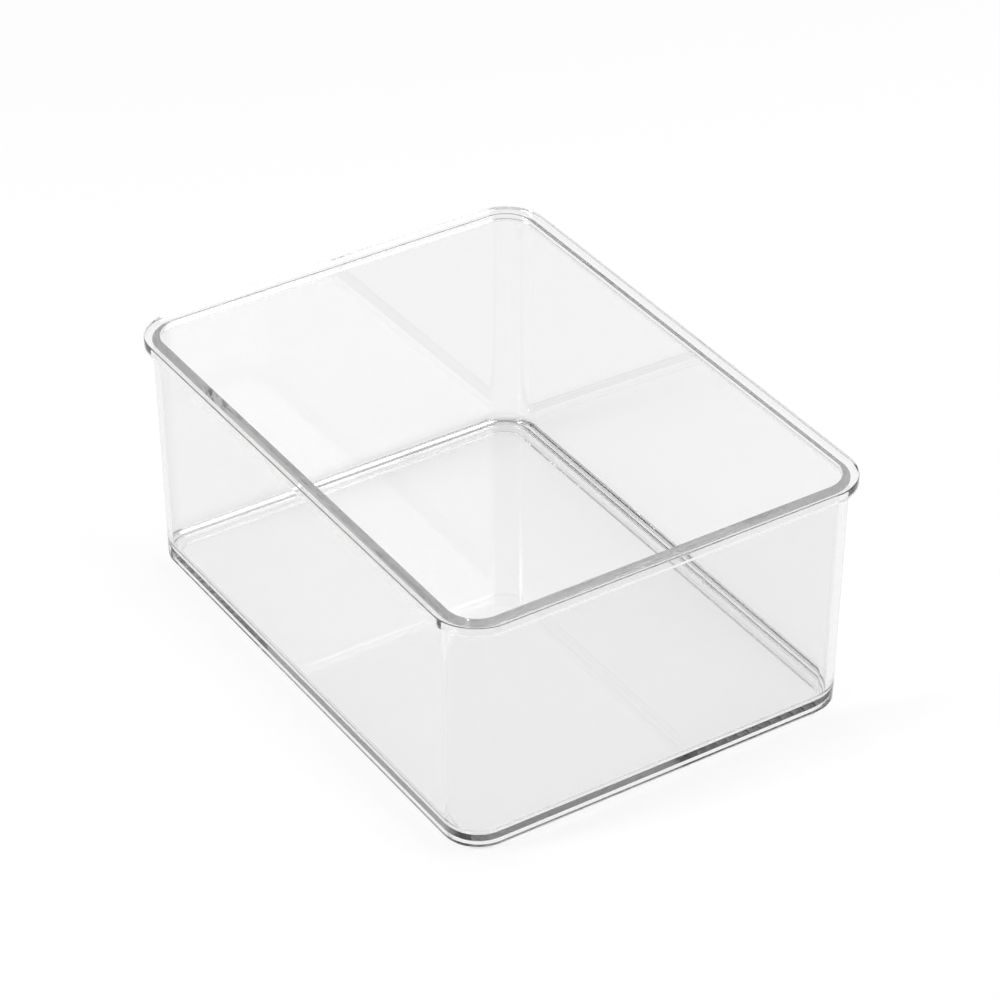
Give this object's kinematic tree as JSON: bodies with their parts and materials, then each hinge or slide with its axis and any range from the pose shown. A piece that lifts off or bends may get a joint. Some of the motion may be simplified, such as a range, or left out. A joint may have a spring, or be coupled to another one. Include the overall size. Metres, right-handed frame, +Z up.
{
  "type": "stacking tray",
  "caption": "Clear rectangular open tray with a square-edged rim, a raised floor and a foot ring that drops into the rim of the tray below, for stacking and storing small things",
  "frame": {"origin": "on the plane of the foot ring's flat underside, in the middle of the ring, which is the middle of the part's footprint", "axes": "+X along the long side, +Y along the short side, +Z up out of the open top"},
  "size_m": [0.2032, 0.1524, 0.0889],
  "materials": {
    "clear_plastic": "clear colourless rigid moulded plastic, glossy on every face"
  },
  "bodies": {
    "root": {"tray": "clear_plastic"}
  },
  "joints": []
}
